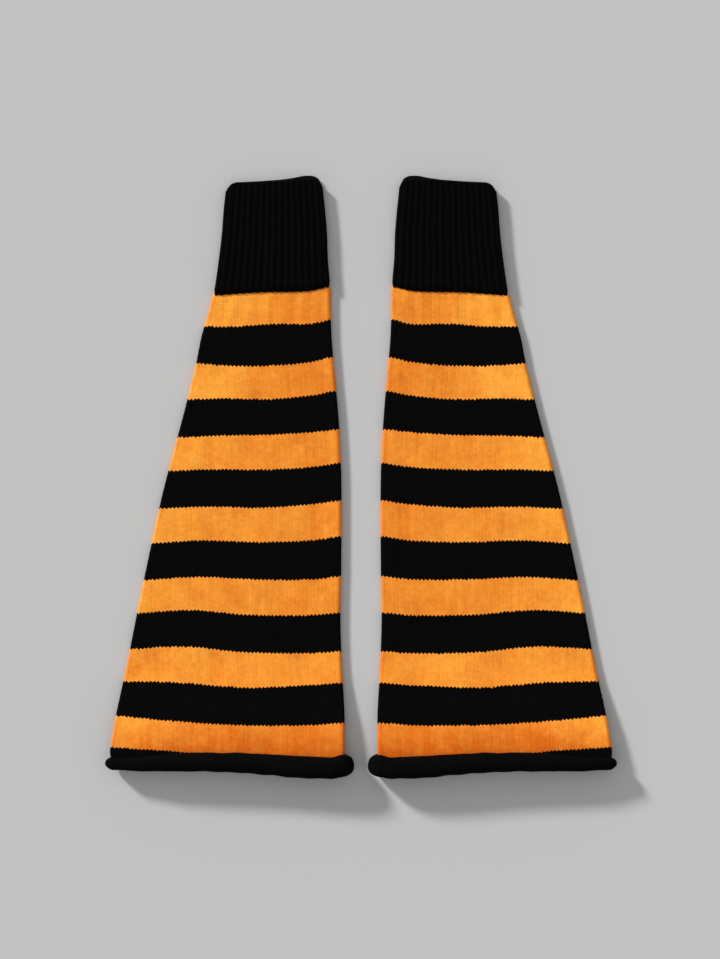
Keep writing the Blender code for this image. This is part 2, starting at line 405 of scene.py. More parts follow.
def wander(chance: np.random.RandomState, *turns: Array) -> Array:
    """Adds up a few slow waves in random directions.

    Args:
        chance: where their directions come from.
        turns: the coordinates, in wave lengths.

    Returns:
        Values between -1 and 1.
    """
    total = np.zeros(np.broadcast(*turns).shape)
    for _ in range(WAVES):
        phase = chance.uniform(0, 2 * math.pi)
        for turn in turns:
            phase = phase + 2 * math.pi * chance.uniform(-MOST_TURNS, MOST_TURNS) * turn
        total = total + np.sin(phase) / WAVES
    return total


def joint_height(across: Array) -> Array:
    """The height of the seam between the leg and the cuff."""
    return read(SEAMS, "across", "joint", across) * MM


def hem_centre(across: Array) -> Array:
    """The height of the line where the leg's cloth turns into the roll."""
    return read(CURLS, "across", "centre", across) * MM


@dataclass
class Knit:
    """Points of a knitted surface, and what its finish reads there.

    Attributes:
        points: places, one row a point.
        stitch: the wale and the course of each point.
        crest: 1 on the crown of the yarn and 0 in the gaps between stitches; the finish paints
            shade where it is low.
        across: how far across the garment each point is.
        painted_shade: the painted shade, 0 on a ridge of the cloth, 1 in a trough or beside the
            roll or the cuff.
        valley: which gap between two wales a point lies in, or -1.
        gap: which gap between two courses a point lies in, or -1.
    """

    points: Array
    stitch: Array
    crest: Array
    across: Array
    painted_shade: Array
    valley: Array
    gap: Array

    @staticmethod
    def lattice(
        points: Array,
        wale: Array,
        course: Array,
        crest: Array | float,
        across: Array | float,
        painted_shade: Array | float,
        valley: Array | int = -1,
        gap: Array | int = -1,
    ) -> "Knit":
        """Makes a surface of points in rows and columns.

        Args:
            points: the places of the points, with the rows on the first axis.
            wale: the wale of each column, or of each point.
            course: the course of each row.
            crest: as in the class; this and what follows may be less than one value a point.
            across: as in the class.
            painted_shade: as in the class.
            valley: as in the class.
            gap: as in the class, but one value a row.

        Returns:
            The surface, row by row.
        """
        shape = points.shape[:2]
        values = [np.broadcast_to(a, shape).astype(float) for a in (wale, course[:, None])]
        singles = (crest, across, painted_shade, valley, gap if np.isscalar(gap) else gap[:, None])
        flat = [np.broadcast_to(a, shape).astype(float).ravel() for a in singles]
        return Knit(points.reshape(-1, 3), np.stack(values, -1).reshape(-1, 2), *flat)

    @staticmethod
    def joined(parts: Sequence["Knit"]) -> "Knit":
        """Puts the points of several surfaces behind each other.

        Args:
            parts: the surfaces.

        Returns:
            One surface with all their points, in order.
        """
        columns = ([getattr(part, name) for part in parts] for name in KNIT_PARTS)
        return Knit(*(np.concatenate(column) for column in columns))


KNIT_PARTS = ("points", "stitch", "crest", "across", "painted_shade", "valley", "gap")


def between(index: Array) -> tuple[Array, Array, Array]:
    """The faces between the rows of a lattice, whose rows may end before its last column.

    Args:
        index: the number of the point at each row and column; past its end a row repeats its last.

    Returns:
        The corners of each face, four a face with the last one repeated in a triangle, a mark on
        those that are triangles, and the row that each face starts from.
    """
    low_left, low_right = index[:-1, :-1].ravel(), index[:-1, 1:].ravel()
    high_left, high_right = index[1:, :-1].ravel(), index[1:, 1:].ravel()
    row = np.repeat(np.arange(len(index) - 1), index.shape[1] - 1)
    no_low, no_high = low_left == low_right, high_left == high_right
    corners = np.stack([low_left, low_right, high_right, high_left], axis=1)
    corners[no_low] = corners[no_low][:, [0, 2, 3, 3]]
    corners[no_high & ~no_low] = corners[no_high & ~no_low][:, [0, 1, 2, 2]]
    there = ~(no_low & no_high)
    return corners[there], (no_low | no_high)[there], row[there]


def turned_over(corners: Array, triangle: Array) -> Array:
    """Makes faces look the other way.

    Args:
        corners: their corners, four a face with the last one repeated in a triangle.
        triangle: marks the faces that have three corners.

    Returns:
        Their corners in the opposite order.
    """
    turned = corners[:, ::-1].copy()
    turned[triangle] = corners[triangle][:, [2, 1, 0, 0]]
    return turned


def make_piece(
    kind: str,
    node: str,
    slot: str,
    knit: Knit,
    corners: Array,
    triangle: Array,
    finish_of: Array,
    finishes: Sequence[Material],
    side: Side,
) -> bpy.types.Object:
    """Makes a Blender object of a knitted surface, which takes the place of a solid.

    Args:
        kind: the piece's name, without its side.
        node: the name of the solid's node, without its side.
        slot: the material slot of the solid; not used.
        knit: its points, in the garment's own frame.
        corners: the corners of its faces, anticlockwise from outside on the right garment.
        triangle: marks the faces that have three corners.
        finish_of: the number of each face's material.
        finishes: the materials.
        side: which garment it belongs to.

    Returns:
        The object, linked to the scene.
    """
    name = f"{kind}_{side.word}"
    if side is Side.LEFT:
        corners = turned_over(corners, triangle)
    sizes = np.where(triangle, 3, 4)
    kept = np.ones(corners.shape, bool)
    kept[triangle, 3] = False
    loops = corners[kept]
    starts = np.concatenate([[0], np.cumsum(sizes)[:-1]])
    mesh = bpy.data.meshes.new(name)
    mesh.vertices.add(len(knit.points))
    mesh.loops.add(len(loops))
    mesh.polygons.add(len(sizes))
    points = knit.points * (side.value, 1, 1) - (0, MIDDLE, 0)
    mesh.vertices.foreach_set("co", points.astype(np.float32).ravel())
    mesh.loops.foreach_set("vertex_index", loops.astype(np.int32))
    mesh.polygons.foreach_set("loop_start", starts.astype(np.int32))
    for finish in finishes:
        mesh.materials.append(finish)
    mesh.polygons.foreach_set("material_index", finish_of.astype(np.int32))
    mesh.update(calc_edges=True)
    mesh.shade_smooth()
    uv = mesh.uv_layers.new(name="stitches")
    uv.uv.foreach_set("vector", knit.stitch[loops].astype(np.float32).ravel())
    # the crest, the place across and the painted shade go to the finish as point attributes
    for label, values in (("crest", knit.crest), ("across", knit.across), ("painted_shade", knit.painted_shade)):
        attribute = mesh.attributes.new(label, "FLOAT", "POINT")
        attribute.data.foreach_set("value", values.astype(np.float32))
    ends = np.zeros(len(mesh.edges) * 2, np.int32)
    mesh.edges.foreach_get("vertices", ends)
    start, end = ends.reshape(-1, 2).T
    creased = np.zeros(len(start), bool)
    for line in (knit.valley, knit.gap):
        creased |= (line[start] >= 0) & (line[start] == line[end])
    sharp = mesh.attributes.new("sharp_edge", "BOOLEAN", "EDGE")
    sharp.data.foreach_set("value", creased)
    piece = bpy.data.objects.new(name, mesh)
    bpy.context.scene.collection.objects.link(piece)
    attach(piece, "root")
    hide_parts(f"{node}_{side.word}")
    return piece


@dataclass(frozen=True)
class YarnFinish:
    """The finish of a knit in one colour.

    Attributes:
        name: the material's name.
        inner: its linear colour near the inner fold.
        outer: its linear colour near the outer edge.
        ridge: what the colour is multiplied by for painted light on a ridge of the cloth.
        trough: what it is multiplied by for painted shade in a trough, beside the roll or the cuff
            and at the folds.
        crevice_shade_level: how much of its colour is left under the painted shade in the gaps
            between stitches.
        unevenness: how much the yarn's tone differs from stitch to stitch.
        mottle: how much its hue drifts over a centimetre or two.
        streak: how much the tone differs from wale to wale.
        sheen: the weight of the nap's sheen.
        sheen_tint: its colour.
        specular: the specular level of the fibres.
        fuzz: the depth of the bump that the fibres make.
        fuzz_strength: the strength of that bump.
        mottle_scale: the noise scale of the drift in hue.
        streak_scale: that of the streaks, across and along the wales, in stitches.
        fibre_scale: that of single fibres.
        strand_scale: that of the strands of the yarn.
        smoothest: the lowest roughness.
        sheen_roughness: the roughness of the sheen.
    """

    name: str
    inner: tuple[float, float, float]
    outer: tuple[float, float, float]
    ridge: tuple[float, float, float]
    trough: tuple[float, float, float]
    crevice_shade_level: float
    unevenness: float
    mottle: float
    streak: float
    sheen: float
    sheen_tint: tuple[float, float, float]
    specular: float
    fuzz: float
    fuzz_strength: float = 0.6
    mottle_scale: float = 55
    streak_scale: tuple[float, float] = (0.9, 0.03)
    fibre_scale: float = 1900
    strand_scale: float = 620
    smoothest: float = 0.82
    sheen_roughness: float = 0.45

    def material(self) -> Material:
        """Makes the procedural material.

        Returns:
            The material.
        """
        made = bpy.data.materials.new(self.name)
        made.use_nodes = True
        tree = NodeTree(made.node_tree)
        place = tree.add("ShaderNodeTexCoord").outputs["Object"]
        stitch = tree.add("ShaderNodeUVMap", uv_map="stitches").outputs["UV"]
        crest = tree.add("ShaderNodeAttribute", attribute_name="crest").outputs["Fac"]
        across = tree.add("ShaderNodeAttribute", attribute_name="across").outputs["Fac"]
        # the painted shade stored at each point
        painted_shade = tree.add("ShaderNodeAttribute", attribute_name="painted_shade").outputs["Fac"]
        each = tree.add("ShaderNodeVectorMath", operation="FLOOR")
        tree.link(stitch, each.inputs[0])
        chance = tree.add("ShaderNodeTexWhiteNoise", noise_dimensions="2D")
        tree.link(each.outputs["Vector"], chance.inputs["Vector"])
        mottled = tree.noise(place, self.mottle_scale, detail=5, grain=0.75)
        wale = tree.add("ShaderNodeVectorMath", operation="MULTIPLY")
        tree.link(stitch, wale.inputs[0])
        wale.inputs[1].default_value = (*self.streak_scale, 0)
        streaked = tree.noise(wale.outputs["Vector"], scale=1, detail=2)
        tone = tree.sum_of(
            1.0,
            (chance.outputs["Value"], self.unevenness),
            (streaked, self.streak),
        )
        # painted shade in the gaps between stitches: the colour darkens where the crest is low
        depth = tree.range_of(crest, self.crevice_shade_level, 1.0)
        shade = tree.product(tone, depth)
        tinted = tree.add("ShaderNodeVectorMath", operation="MULTIPLY")
        tree.link(tree.blend(across, self.inner, self.outer), tinted.inputs[0])
        # painted light and shade: the stored shade, with the mottle and the streaks, picks a colour
        # between the painted light of a ridge and the painted shade of a trough
        mottle_and_shade = tree.sum_of(0.0, (mottled, 2 * self.mottle), (streaked, self.mottle), (painted_shade, 1.0))
        mottle_and_shade_clamped = tree.add("ShaderNodeMath", operation="ADD", use_clamp=True)
        tree.link(mottle_and_shade, mottle_and_shade_clamped.inputs[0])
        mottle_and_shade_clamped.inputs[1].default_value = 0.5
        tree.link(tree.blend(mottle_and_shade_clamped.outputs["Value"], self.ridge, self.trough), tinted.inputs[1])
        # the colour with its painted light and shade and its random tone
        shaded_colour = tree.add("ShaderNodeVectorMath", operation="SCALE")
        tree.link(tinted.outputs["Vector"], shaded_colour.inputs[0])
        tree.link(shade, shaded_colour.inputs["Scale"])
        fibre = tree.noise(place, self.fibre_scale, detail=4)
        strand = tree.noise(place, self.strand_scale, detail=2)
        roughness = tree.range_of(fibre, self.smoothest, 1.0)
        height = tree.sum_of(0.0, (fibre, 0.6), (strand, 0.4))
        bump = tree.add("ShaderNodeBump")
        bump.inputs["Strength"].default_value = self.fuzz_strength
        bump.inputs["Distance"].default_value = self.fuzz
        tree.link(height, bump.inputs["Height"])
        shader = tree.shader
        tree.link(shaded_colour.outputs["Vector"], shader.inputs["Base Color"])
        tree.link(roughness, shader.inputs["Roughness"])
        tree.link(bump.outputs["Normal"], shader.inputs["Normal"])
        shader.inputs["Specular IOR Level"].default_value = self.specular
        shader.inputs["Sheen Weight"].default_value = self.sheen
        shader.inputs["Sheen Roughness"].default_value = self.sheen_roughness
        shader.inputs["Sheen Tint"].default_value = (*self.sheen_tint, 1)
        return made


class NodeTree:
    """Short ways to fill a material's node tree."""

    def __init__(self, tree: bpy.types.NodeTree) -> None:
        """Takes over a new material's tree.

        Args:
            tree: the tree, which holds one Principled shader.
        """
        self.tree = tree
        self.shader = tree.nodes["Principled BSDF"]

    def add(self, kind: str, **settings: object) -> bpy.types.Node:
        """Adds a node.

        Args:
            kind: its type.
            settings: its own settings.

        Returns:
            The node.
        """
        node = self.tree.nodes.new(kind)
        for name, value in settings.items():
            setattr(node, name, value)
        return node

    def link(self, start: Socket, end: Socket) -> None:
        """Links an output to an input."""
        self.tree.links.new(start, end)

    def noise(self, place: Socket, scale: float, detail: float, grain: float = 0.5) -> Socket:
        """Adds a noise texture, whose value goes from 0 to 1.

        Args:
            place: the coordinates that it reads.
            scale: its scale.
            detail: how many finer layers it has.
            grain: how strong each finer layer is beside the one before it.

        Returns:
            Its value.
        """
        node = self.add("ShaderNodeTexNoise")
        node.inputs["Scale"].default_value = scale
        node.inputs["Detail"].default_value = detail
        node.inputs["Roughness"].default_value = grain
        self.link(place, node.inputs["Vector"])
        return node.outputs["Fac"]

    def range_of(self, value: Socket, low: float, high: float) -> Socket:
        """Maps a value that goes from 0 to 1 to another range.

        Args:
            value: the value.
            low: what it gives at 0.
            high: what it gives at 1.

        Returns:
            The mapped value.
        """
        node = self.add("ShaderNodeMapRange")
        node.inputs["To Min"].default_value = low
        node.inputs["To Max"].default_value = high
        self.link(value, node.inputs["Value"])
        return node.outputs["Result"]

    def sum_of(self, start: float, *terms: tuple[Socket, float]) -> Socket:
        """Adds up values, each less a half and times its weight.

        Args:
            start: what the sum starts from.
            terms: each value with its weight.

        Returns:
            The sum.
        """
        total: Socket | None = None
        for value, weight in terms:
            node = self.add("ShaderNodeMath", operation="MULTIPLY_ADD")
            self.link(value, node.inputs[0])
            node.inputs[1].default_value = weight
            if total is None:
                node.inputs[2].default_value = start - sum(w for _, w in terms) / 2
            else:
                self.link(total, node.inputs[2])
            total = node.outputs["Value"]
        return total

    def product(self, a: Socket, b: Socket) -> Socket:
        """Multiplies two values.

        Args:
            a: the first value.
            b: the second one.

        Returns:
            The product.
        """
        node = self.add("ShaderNodeMath", operation="MULTIPLY")
        self.link(a, node.inputs[0])
        self.link(b, node.inputs[1])
        return node.outputs["Value"]

    def blend(self, share: Socket, start: Sequence[float], end: Sequence[float]) -> Socket:
        """Blends two colours.

        Args:
            share: how much of the second colour to take.
            start: the first colour.
            end: the second colour.

        Returns:
            The colour.
        """
        node = self.add("ShaderNodeMix", data_type="RGBA")
        self.link(share, node.inputs["Factor"])
        node.inputs[6].default_value = (*start, 1)
        node.inputs[7].default_value = (*end, 1)
        return node.outputs[2]


@dataclass(frozen=True)
class TubeForm:
    """A flattened tube of cloth, in a garment's own frame.

    Attributes:
        outline: its outline from the front.
        flat: the depth of its two layers.
    """

    outline: tuple[Outline, ...]
    flat: float

    def edges(self, height: Array) -> tuple[Array, Array]:
        """The inner and outer edge at a height, as distances from the middle plane.

        Args:
            height: the height.

        Returns:
            The two distances.
        """
        inner = read(self.outline, "height", "inner", height / MM) * MM
        outer = read(self.outline, "height", "outer", height / MM) * MM
        return inner, outer

    def swell(self, across: Array, height: Array) -> Array:
        """How much higher the front is than two flat layers would be."""
        return np.zeros(np.broadcast(across, height).shape)

    def lift(self, height: Array) -> Array:
        """How far the underside is above the floor."""
        return np.zeros(np.shape(height))

    def tuck(self, across: Array, height: Array) -> Array:
        """How far creases raise the back layer off what it lies on."""
        return np.zeros(np.broadcast(across, height).shape)

    def radii(self, height: Array) -> tuple[Array, Array]:
        """The radius of the inner fold and of the outer edge at a height.

        Args:
            height: the height.

        Returns:
            The two radii.
        """
        near = (self.flat + self.swell(np.zeros(1), height)) / 2
        far = (self.flat + self.swell(np.ones(1), height)) / 2
        return near, far

    def half_length(self, height: Array) -> Array:
        """The length of the cloth from the line of the inner fold to that of the outer edge.

        Args:
            height: the height.

        Returns:
            The length.
        """
        inner, outer = self.edges(height)
        near, far = self.radii(height)
        return outer - inner - near - far + (near + far) * math.pi / 2

    def cut(self, height: Array) -> tuple[tuple[float, float], float]:
        """The flat size of a length of the tube, all round.

        Args:
            height: evenly spaced heights from its lower end to its upper one.

        Returns:
            Its width and length, and its area.
        """
        width = 2 * self.half_length(height)
        length = height[-1] - height[0]
        return (float(width.max()), float(length)), float(width.mean() * length)

    def turns(self, reach: Array, height: Array) -> tuple[Array, Array]:
        """How far the cloth has turned away from each fold, up to a quarter turn.

        Args:
            reach: how far along the cloth it is.
            height: its height.

        Returns:
            The angle from the inner fold and that from the outer one.
        """
        near, far = self.radii(height)
        near_turn = np.clip(reach / near, 0, math.pi / 2)
        return near_turn, np.clip((self.half_length(height) - reach) / far, 0, math.pi / 2)

    def facing(self, reach: Array, height: Array) -> Array:
        """How squarely the cloth faces up or down: 0 at the two folds and 1 between them."""
        near_turn, far_turn = self.turns(reach, height)
        return np.minimum(np.sin(near_turn), np.sin(far_turn))

    def from_side(self, reach: Array, height: Array) -> Array:
        """How far a place is from the nearer side of the outline, as seen from the front.

        Args:
            reach: how far along the cloth it is.
            height: its height.

        Returns:
            The distance.
        """
        inner, outer = self.edges(height)
        near, far = self.radii(height)
        across = self.across_at(reach, height)
        flat = outer - inner - near - far
        near_turn, far_turn = self.turns(reach, height)
        from_inner = near * (1 - np.cos(near_turn)) + across * flat
        from_outer = far * (1 - np.cos(far_turn)) + (1 - across) * flat
        return np.minimum(from_inner, from_outer)

    def across_at(self, reach: Array, height: Array) -> Array:
        """How far across a place is that lies that far along the cloth.

        Args:
            reach: how far along the cloth it is.
            height: its height.

        Returns:
            Its place across, from 0 to 1.
        """
        inner, outer = self.edges(height)
        near, far = self.radii(height)
        return np.clip((reach - near * math.pi / 2) / (outer - inner - near - far), 0, 1)

    def place(self, reach: Array, height: Array, face: Face, raised: Array) -> Array:
        """Places points on the tube.

        Args:
            reach: how far along the cloth they are.
            height: their heights.
            face: the layer that they are on.
            raised: how far they stand out of it.

        Returns:
            Their places, with one more axis of three numbers.
        """
        inner, outer = self.edges(height)
        near, far = self.radii(height)
        across = self.across_at(reach, height)
        near_turn, far_turn = self.turns(reach, height)
        out_x = np.cos(far_turn) - np.cos(near_turn)
        out_z = face.value * np.minimum(np.sin(near_turn), np.sin(far_turn))
        depth = (self.flat + self.swell(across, height)) / 2
        x = inner + near + across * (outer - inner - near - far) + out_x * (depth + raised)
        z = self.lift(height) + depth * (1 + out_z) + out_z * raised
        if face is Face.BACK:
            z = z + self.tuck(across, height)
        return np.stack(np.broadcast_arrays(x, height, z), axis=-1)


@dataclass(frozen=True)
class LegForm(TubeForm):
    """The form of a leg, which rests on its hem roll and is gathered below the cuff.

    Attributes:
        outline: its outline from the front.
        flat: the depth of its two layers.
        fold_puff: how much the cloth puffs up at its folds.
        fold_puff_reach: how far from a fold that fades.
        roll_clearance: how high above the hem it starts.
        swell_start: over what height it grows to its full size.
        gather_rise: how high a full gather below the cuff is.
        gather_reach: how far down a gather of length 1 reaches.
        gather_start: how far below the seam it has its full height.
        gather_end: over what height it ends there.
        hem_lift: how far the underside is above the floor at the roll.
        slope_length: how long the cloth takes to come down from there.
        trough_shade: the painted shade on flat cloth.
        ridge_light: the rise that would make the colour lightest, as painted light on a ridge.
        roll_shade: how much more painted shade there is beside the roll.
        roll_shade_reach: how far up that fades.
        fold_shade: how much more painted shade there is at the folds.
        fold_shade_reach: how far from a fold that fades.
        cuff_shade: how much more painted shade there is below the cuff.
        cuff_shade_reach: how far down that fades.
        patch_edge: where a patch of deeper or lighter colour ends, in its half sizes.
    """

    outline: tuple[Outline, ...] = LEG_OUTLINE
    flat: float = 4.1 * MM
    fold_puff: float = 0.4 * MM
    fold_puff_reach: float = 14 * MM
    roll_clearance: float = 20 * MM
    swell_start: float = 30 * MM
    gather_rise: float = 0.3 * MM
    gather_reach: float = 48 * MM
    gather_start: float = 3 * MM
    gather_end: float = 5 * MM
    hem_lift: float = 6.4 * MM
    slope_length: float = 78 * MM
    trough_shade: float = 0.39
    ridge_light: float = 3.4 * MM
    roll_shade: float = 0.62
    roll_shade_reach: float = 50 * MM
    fold_shade: float = 0.28
    fold_shade_reach: float = 1.6 * MM
    cuff_shade: float = 0.05
    cuff_shade_reach: float = 5 * MM
    patch_edge: float = 1.4

    def swell(self, across: Array, height: Array) -> Array:
        """How much higher the front is than two flat layers would be.

        Args:
            across: how far across a place of it is.
            height: its height.

        Returns:
            The rise, with the puff at the folds, the gathers and the creases.
        """
        inner, outer = self.edges(height)
        from_fold = np.minimum(across, 1 - across) * (outer - inner)
        swell = self.fold_puff * np.exp(-from_fold / self.fold_puff_reach)
        swell = swell * ease((height - self.roll_clearance) / self.swell_start)
        below_cuff = joint_height(across) - height - self.gather_start
        for ripple in RIPPLES:
            fade = 1 - ease(below_cuff / (self.gather_reach * ripple.length))
            ridge = 1 - ease(np.abs(across - ripple.across) / ripple.half_width)
            ridge = ridge * ease(1 + below_cuff / self.gather_end)
            swell = swell + self.gather_rise * ripple.rise * fade * ridge
        return swell + self.creased(FRONT_CREASES, across, height)

    def creased(self, creases: Sequence[Crease], across: Array, height: Array) -> Array:
        """How far a list of creases raises the cloth.

        Args:
            creases: the creases.
            across: where the cloth is, across.
            height: its height.

        Returns:
            The rise, below zero in a trough.
        """
        inner, outer = self.edges(height)
        rise = np.zeros(np.broadcast(across, height).shape)
        for crease in creases:
            along = (height / MM - crease.height) / crease.half_length
            aside = (across - crease.across) * (outer - inner) / MM - crease.lean * along
            aside = aside / crease.half_width
            fade = 1 - ease(np.abs(along))
            rise = rise + crease.rise * MM * fade * np.exp(-2 * aside**2)
        return rise

    def shade(self, across: Array, height: Array) -> Array:
        """How much painted shade the cloth has, from 0 to 1, in a trough or beside the roll or the
        cuff.

        Args:
            across: how far across it is.
            height: its height.

        Returns:
            The depth of its painted shade.
        """
        shade = self.trough_shade - self.swell(across, height) / self.ridge_light
        above_roll = (height - hem_centre(across)) / self.roll_shade_reach
        below_cuff = (joint_height(across) - height) / self.cuff_shade_reach
        shade = shade + self.roll_shade * (1 - ease(above_roll))
        inner, outer = self.edges(height)
        for patch in PATCHES:
            aside = (across - patch.across) * (outer - inner) / MM / patch.half_width
            along = (height / MM - patch.height) / patch.half_length
            from_middle = np.sqrt(aside**2 + along**2) / self.patch_edge
            shade = shade + patch.tone_shift * (1 - ease(from_middle))
        from_fold = np.minimum(across, 1 - across) * (outer - inner)
        shade = shade + self.fold_shade * (1 - ease(from_fold / self.fold_shade_reach))
        return np.clip(shade + self.cuff_shade * (1 - ease(below_cuff)), 0, 1)

    def lift(self, height: Array) -> Array:
        """How far the underside is above the floor."""
        up_the_slope = (height - hem_centre(np.full(1, 0.5))) / self.slope_length
        return self.hem_lift * (1 - ease(up_the_slope))

    def tuck(self, across: Array, height: Array) -> Array:
        """How far creases raise the back layer off what it lies on."""
        return self.creased(BACK_CREASES, across, height)


@dataclass
class Leg:
    """The striped jersey leg: one panel folded at the inner edge and joined at the outer one.

    Attributes:
        side: which garment it belongs to.
        wale: the width of a stitch.
        vee: how far a stitch's V reaches down, in courses.
        relief: how far the yarn stands out of the gaps between stitches.
        uneven_row: how far stitches stray from their course, in courses.
        uneven_yarn: how much the relief differs from stitch to stitch, as a share.
        drift: how far the wales wander sideways.
        drift_wave: the length of one wave of that, in wales and in courses.
        drift_start: how many wales from the fold it has its full size.
        strand_dip: what is left of the relief in the middle of a V.
        row_dip: what is left of it between two courses.
        sewn_in: how far the cloth past the seam lies inside the cuff.
        sewn_in_length: how far past the seam it has sunk as far as that.
        seam_crest: how light painted shade leaves the seam line, beside the yarn's crown.
        front_columns: mesh columns a wale on the front.
        back_columns: mesh columns a wale on the back.
        rows: mesh rows a course.
        seed: where its chance values start.
        form: the form of the tube.
    """

    side: Side
    wale: float = 2.9 * MM
    vee: float = 0.55
    relief: float = 0.17 * MM
    uneven_row: float = 0.16
    uneven_yarn: float = 0.3
    drift: float = 0.5 * MM
    drift_wave: tuple[float, float] = (14, 45)
    drift_start: float = 6
    strand_dip: float = 0.2
    row_dip: float = 0.3
    sewn_in: float = 1.3 * MM
    sewn_in_length: float = 2 * MM
    seam_crest: float = 0.4
    front_columns: int = 4
    back_columns: int = 2
    rows: int = 2
    seed: int = 40
    form: LegForm = LegForm()

    @staticmethod
    def height_of(course: Array, across: Array) -> Array:
        """The height of a course at a place across.

        Args:
            course: the course, which may be a fraction.
            across: the place across.

        Returns:
            The height.
        """
        course, across = np.broadcast_arrays(course, across)
        places = np.array(STRIPE_PLACES)
        numbers = [0] + [edge.course for edge in STRIPE_EDGES] + [COURSES]
        lines = [hem_centre(across) + SEAM_GAP]
        lines += [spline(places, np.array(edge[1:]) * MM, across) for edge in STRIPE_EDGES]
        lines += [joint_height(across)]
        beyond = 2 * lines[-1] - lines[-2]
        numbers, lines = numbers + [2 * numbers[-1] - numbers[-2]], lines + [beyond]
        height = lines[0]
        for start, end, low, high in zip(numbers, numbers[1:], lines, lines[1:]):
            t = (course - start) / (end - start)
            height = np.where(t > 0, mix(low, high, t), height)
        return height

    def half(self, face: Face, columns: int, course: Array) -> tuple[Knit, Array]:
        """The stitches of one layer, without the seam line.

        Args:
            face: the layer.
            columns: mesh columns a wale.
            course: the course of each mesh row.

        Returns:
            Its points, row by row, and a mark on those that lie inside the seam.
        """
        most = self.form.half_length(np.linspace(*WIDEST, 11) * MM).max()
        number = np.arange(int(most / self.wale * columns) + 2)
        wale = number / columns
        chance = np.random.RandomState(self.seed * columns + self.side.value)
        stitches = (len(course), len(number))
        uneven = per_stitch(chance, stitches, (self.rows, columns))
        shifted = course[:, None] + self.vee * zigzag(wale)[None, :] + self.uneven_row * uneven
        across = np.clip(wale * self.wale / most, 0, 1)[None, :]
        long, tall = self.drift_wave
        drift = wander(chance, wale[None, :] / long, course[:, None] / tall)
        drift = drift * self.drift * ease(wale / self.drift_start)
        reach = wale * self.wale + drift
        for _ in range(4):  # a point's height and its place across settle together
            height = self.height_of(shifted, across)
            across = self.form.across_at(reach, height)
        crown = np.where(number % (columns // 2 if columns > 2 else columns) == 0, 0.0, 1.0)
        if columns > 2:
            crown[number % columns == columns // 2] = self.strand_dip
        bulge = np.where(course % 1 == 0, self.row_dip, 1.0)
        # the crest raises the yarn, and the finish also darkens the colour where it is low: painted
        # shade in the gaps between stitches
        crest = crown[None, :] * bulge[:, None]
        sunk = self.relief if face is Face.BACK else self.relief / 2
        fullness = 1 + self.uneven_yarn * per_stitch(chance, stitches, (self.rows, columns))
        sunk = sunk + self.under_cuff(height, across)
        points = self.form.place(reach, height, face, self.relief * crest * fullness - sunk)
        valley = np.where(crown < 0.5, number, -1)
        valley = np.where(valley >= 0, valley + (face is Face.BACK) * len(number), -1)
        gap = np.where(course % 1 == 0, np.arange(len(course)), -1)
        column = self.wale / columns
        inside = reach < self.form.half_length(height) - SEAM_ROOM * column
        # the painted shade of each point
        painted_shade = self.form.shade(across, height)
        knit = Knit.lattice(points, wale * face.value, course, crest, across, painted_shade, valley, gap)
        return knit, inside

    def under_cuff(self, height: Array, across: Array) -> Array:
        """How far the cloth past the seam has sunk below the rest."""
        return self.sewn_in * ease((height - joint_height(across)) / self.sewn_in_length)

    def seam(self, course: Array) -> Knit:
        """The points of the seam line along the outer edge, one a mesh row.

        Args:
            course: the course of each mesh row.

        Returns:
            The points.
        """
        height = self.height_of(course + self.vee / 2, np.ones(1))
        reach = self.form.half_length(height)
        sunk = self.relief / 2 + self.under_cuff(height, np.ones(1))
        points = self.form.place(reach, height, Face.FRONT, -sunk)
        return Knit(
            points=points,
            stitch=np.stack([reach / self.wale, course], -1),
            crest=np.full(len(course), self.seam_crest),
            across=np.ones(len(course)),
            painted_shade=self.form.shade(np.ones(1), height),
            valley=np.full(len(course), SEAM_VALLEY),
            gap=np.where(course % 1 == 0, np.arange(len(course)), -1),
        )

    def stripe_of(self, course: Array) -> Array:
        """The kind of stripe that each course belongs to.

        Args:
            course: the courses.

        Returns:
            0 for an orange stripe and 1 for a black one.
        """
        edges = np.array([edge.course for edge in STRIPE_EDGES])
        passed = np.searchsorted(edges, course, side="right")
        return np.where(passed % 2 == 1, 0, 1)

    def build(self, orange: Material, black: Material) -> bpy.types.Object:
        """Makes the leg.

        Args:
            orange: the finish of the orange stripes.
            black: the finish of the black ones.

        Returns:
            The piece.
        """
        course = np.arange(COURSES * self.rows + 2 * self.rows + 1) / self.rows
        front, front_inside = self.half(Face.FRONT, self.front_columns, course)
        back, back_inside = self.half(Face.BACK, self.back_columns, course)
        seam = self.seam(course)
        knit = Knit.joined([front, back, seam])
        front_index = np.arange(front_inside.size).reshape(front_inside.shape)
        back_index = front_inside.size + np.arange(back_inside.size).reshape(back_inside.shape)
        seam_index = front_inside.size + back_inside.size + np.arange(len(course))
        front_index = np.where(front_inside, front_index, seam_index[:, None])
        back_index = np.where(back_inside, back_index, seam_index[:, None])
        back_index[:, 0] = front_index[:, 0]
        front_faces, front_triangle, front_row = between(front_index)
        back_faces, back_triangle, back_row = between(back_index)
        corners = np.concatenate([front_faces, turned_over(back_faces, back_triangle)])
        triangle = np.concatenate([front_triangle, back_triangle])
        row = np.concatenate([front_row, back_row])
        stripe = self.stripe_of(row // self.rows)
        knit, corners = without_loose(knit, corners)
        cloth = ("knit_leg", "leg", "striped_jersey")
        return make_piece(*cloth, knit, corners, triangle, stripe, (orange, black), self.side)

    def cut(self) -> tuple[tuple[float, float], float]:
        """The width and length and the area of the panel, flat and all round the tube."""
        middle = np.full(1, 0.5)
        return self.form.cut(np.linspace(hem_centre(middle)[0], joint_height(middle)[0], 400))


